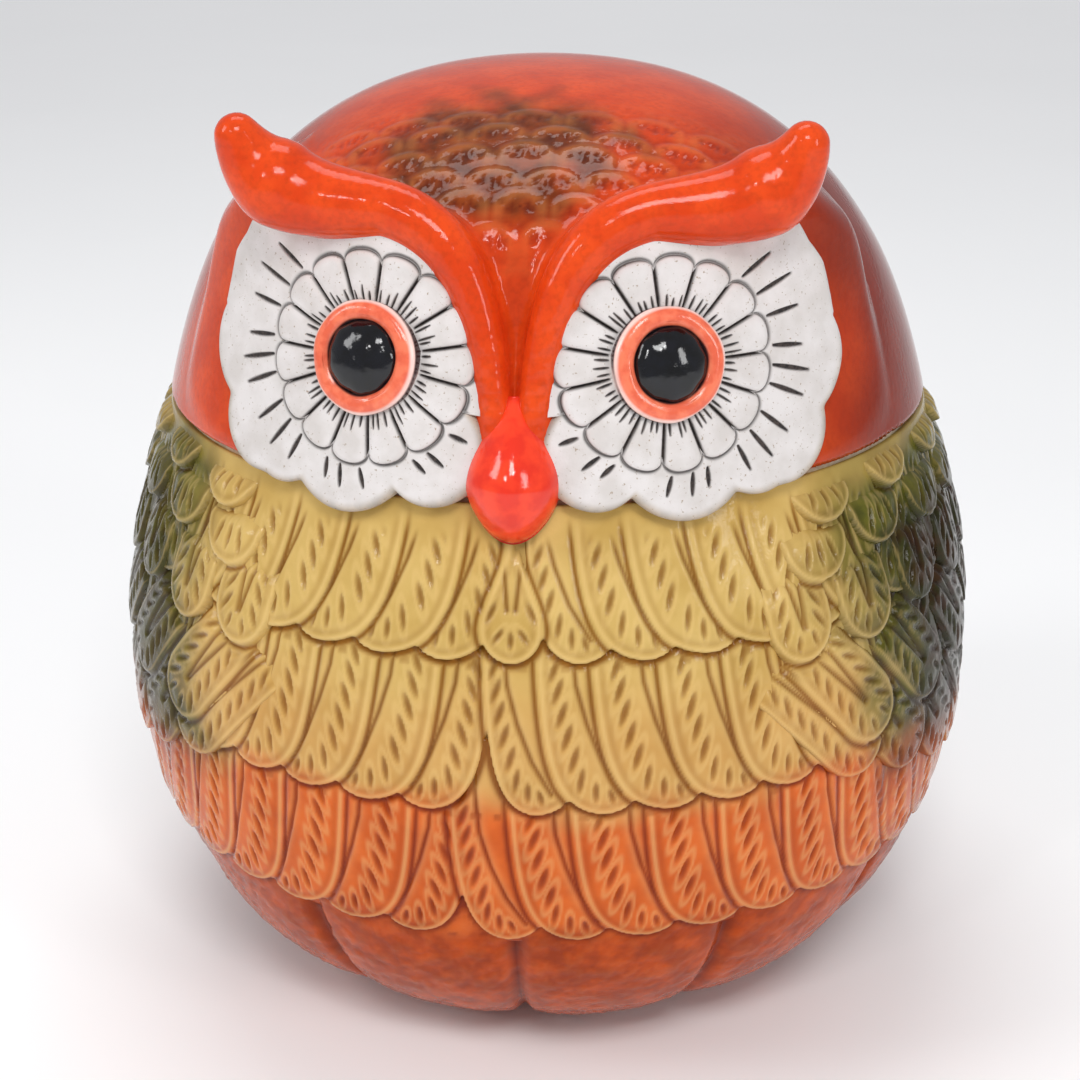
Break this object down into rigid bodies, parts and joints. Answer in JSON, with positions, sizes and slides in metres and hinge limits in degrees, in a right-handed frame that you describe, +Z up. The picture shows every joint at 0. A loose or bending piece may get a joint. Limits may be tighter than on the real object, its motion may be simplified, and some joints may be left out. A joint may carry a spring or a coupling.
{
  "type": "coin bank",
  "caption": "Owl-shaped glazed pottery coin bank: a hollow feathered jar with a lift-off head that has horned brows, scalloped white eye discs and a coin slot at the back.",
  "frame": {"origin": "centre of the foot ring's underside, on the surface that the bank stands on", "axes": "+Z up; the owl faces -Y; +X is to the right seen from the front"},
  "size_m": [0.1996, 0.196, 0.212],
  "materials": {
    "mustard_glaze": "high-gloss mustard and amber glaze, pooled darker in the feather grooves",
    "olive_glaze": "high-gloss olive green glaze",
    "orange_glaze": "high-gloss orange glaze",
    "brow_glaze": "high-gloss bright orange glaze",
    "red_glaze": "high-gloss red-orange glaze",
    "white_bisque": "unglazed white bisque with black antiqued strokes",
    "coral_glaze": "satin coral enamel",
    "black_glaze": "high-gloss black glaze",
    "bare_clay": "unglazed cream clay"
  },
  "bodies": {
    "jar": {"body_shell": "mustard_glaze", "foot_ring": "bare_clay", "wing_left": "olive_glaze", "wing_right": "olive_glaze"},
    "head": {"head_shell": "orange_glaze", "lid_flange": "bare_clay", "face_mask": "orange_glaze", "brow_left": "brow_glaze", "brow_right": "brow_glaze", "beak": "red_glaze", "eye_disc_left": "white_bisque", "eye_disc_right": "white_bisque", "eye_petals_left": "white_bisque", "eye_petals_right": "white_bisque", "eye_ring_left": "coral_glaze", "eye_ring_right": "coral_glaze", "pupil_left": "black_glaze", "pupil_right": "black_glaze"}
  },
  "joints": [
    {"name": "head_lift", "type": "slide", "parent": "jar", "child": "head", "axis": [0, 0, 1], "range_m": [0, 0.08]}
  ]
}
